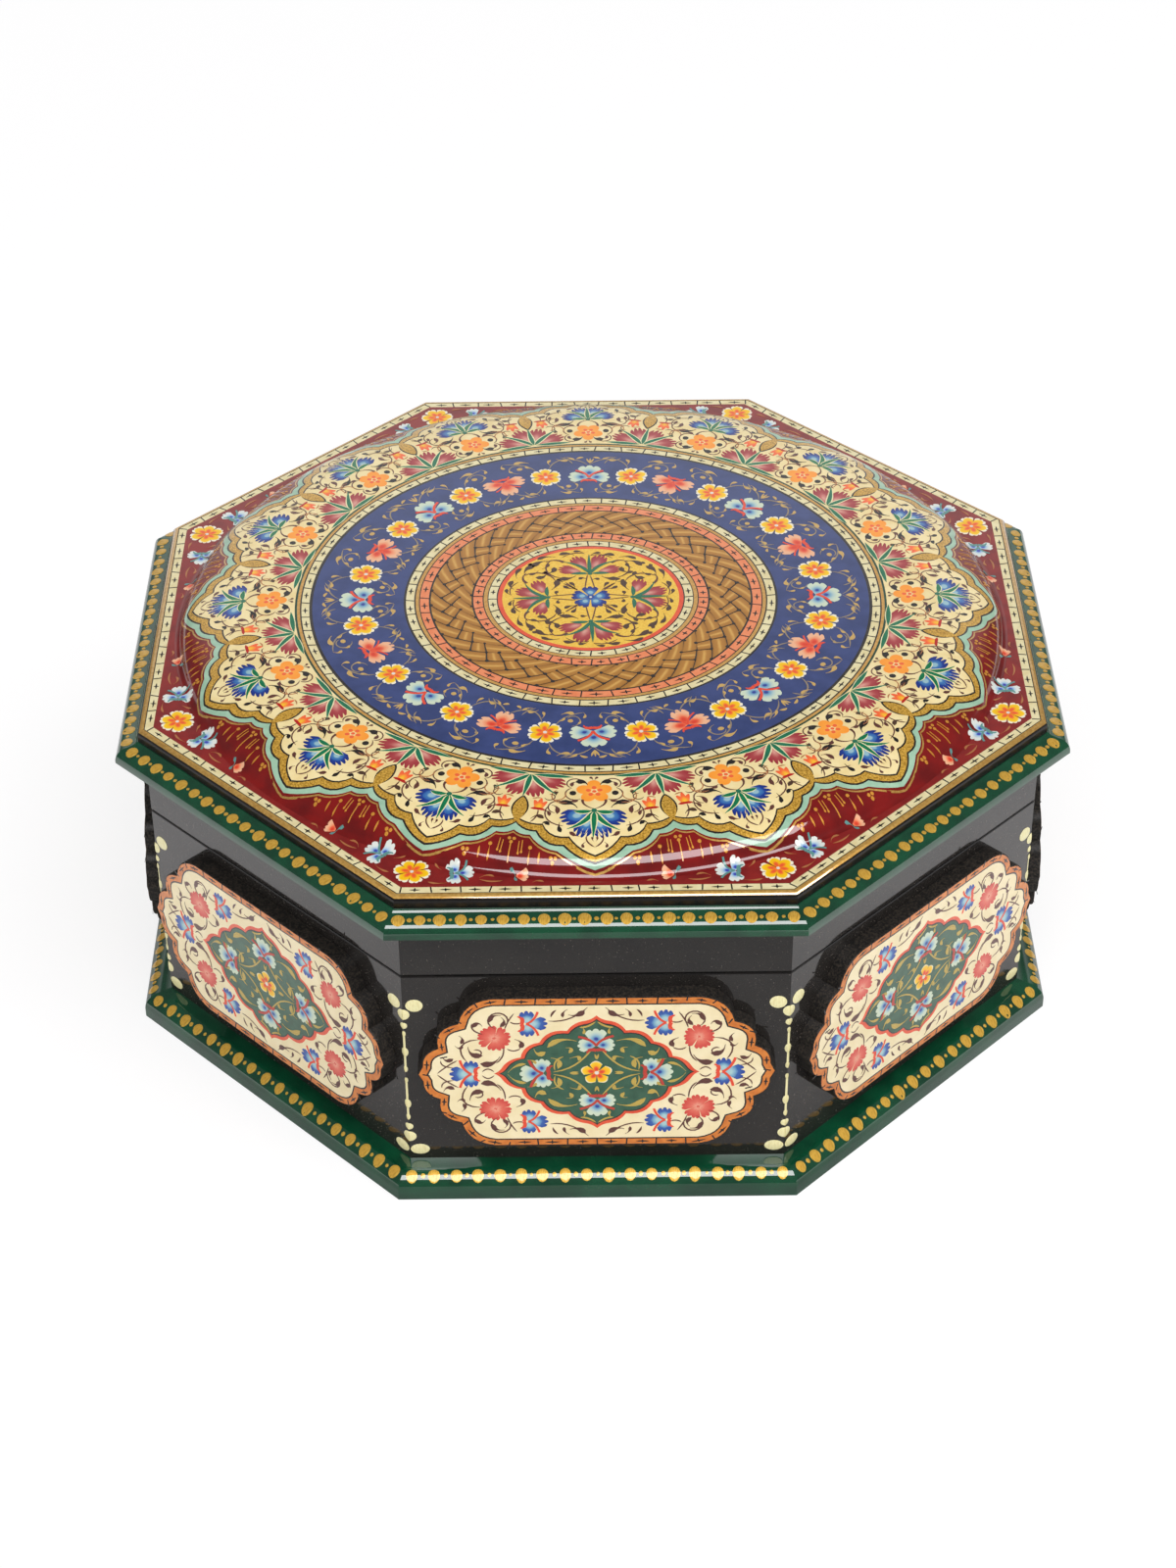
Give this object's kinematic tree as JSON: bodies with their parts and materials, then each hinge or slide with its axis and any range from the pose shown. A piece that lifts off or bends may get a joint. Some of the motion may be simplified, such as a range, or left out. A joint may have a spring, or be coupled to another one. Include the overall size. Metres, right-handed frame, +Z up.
{
  "type": "octagonal papier mache box with hinged lid",
  "caption": "Octagonal lacquered papier mache box with a hinged domed lid, moulded edges and raised cusped side plaques, painted with traditional flowers.",
  "frame": {"origin": "centre of the underside, on the surface the box stands on", "axes": "+Z up through the lid, -Y towards the front face, +X to the right seen from the front; the hinges are on the +Y side"},
  "size_m": [0.25, 0.25, 0.1038],
  "materials": {
    "black_lacquer": "high-gloss black lacquer over papier mache board",
    "green_lacquer": "high-gloss dark green lacquer over wood moulding",
    "plaque_paint": "painted cream, orange and green under clear lacquer",
    "lid_paint": "painted deep red, cream, blue and gold under clear lacquer",
    "lining_cloth": "short-pile dark red velvet",
    "brass": "plain drawn brass"
  },
  "bodies": {
    "body": {"wall_front": "black_lacquer", "foot_moulding_front": "green_lacquer", "plaque_front": "plaque_paint", "wall_front_right": "black_lacquer", "foot_moulding_front_right": "green_lacquer", "plaque_front_right": "plaque_paint", "wall_right": "black_lacquer", "foot_moulding_right": "green_lacquer", "plaque_right": "plaque_paint", "wall_rear_right": "black_lacquer", "foot_moulding_rear_right": "green_lacquer", "plaque_rear_right": "plaque_paint", "wall_rear": "black_lacquer", "foot_moulding_rear": "green_lacquer", "plaque_rear": "plaque_paint", "wall_rear_left": "black_lacquer", "foot_moulding_rear_left": "green_lacquer", "plaque_rear_left": "plaque_paint", "wall_left": "black_lacquer", "foot_moulding_left": "green_lacquer", "plaque_left": "plaque_paint", "wall_front_left": "black_lacquer", "foot_moulding_front_left": "green_lacquer", "plaque_front_left": "plaque_paint", "bottom_board": "black_lacquer", "floor_lining": "lining_cloth", "wall_lining": "lining_cloth", "hinge_left_body_leaf": "brass", "hinge_left_pin": "brass", "hinge_right_body_leaf": "brass", "hinge_right_pin": "brass", "hinge_screws_body": "brass"},
    "lid": {"lid_rim_front": "black_lacquer", "lid_moulding_front": "green_lacquer", "lid_rim_front_right": "black_lacquer", "lid_moulding_front_right": "green_lacquer", "lid_rim_right": "black_lacquer", "lid_moulding_right": "green_lacquer", "lid_rim_rear_right": "black_lacquer", "lid_moulding_rear_right": "green_lacquer", "lid_rim_rear": "black_lacquer", "lid_moulding_rear": "green_lacquer", "lid_rim_rear_left": "black_lacquer", "lid_moulding_rear_left": "green_lacquer", "lid_rim_left": "black_lacquer", "lid_moulding_left": "green_lacquer", "lid_rim_front_left": "black_lacquer", "lid_moulding_front_left": "green_lacquer", "lid_top_board": "lid_paint", "lid_dome": "lid_paint", "lid_lining": "lining_cloth", "lid_rim_lining": "lining_cloth", "hinge_left_lid_leaf": "brass", "hinge_right_lid_leaf": "brass", "hinge_screws_lid": "brass"}
  },
  "joints": [
    {"name": "lid_hinge", "type": "hinge", "parent": "body", "child": "lid", "pos_m": [0, 0.1197, 0.0701], "axis": [-1, 0, 0], "range_deg": [0, 95]}
  ]
}
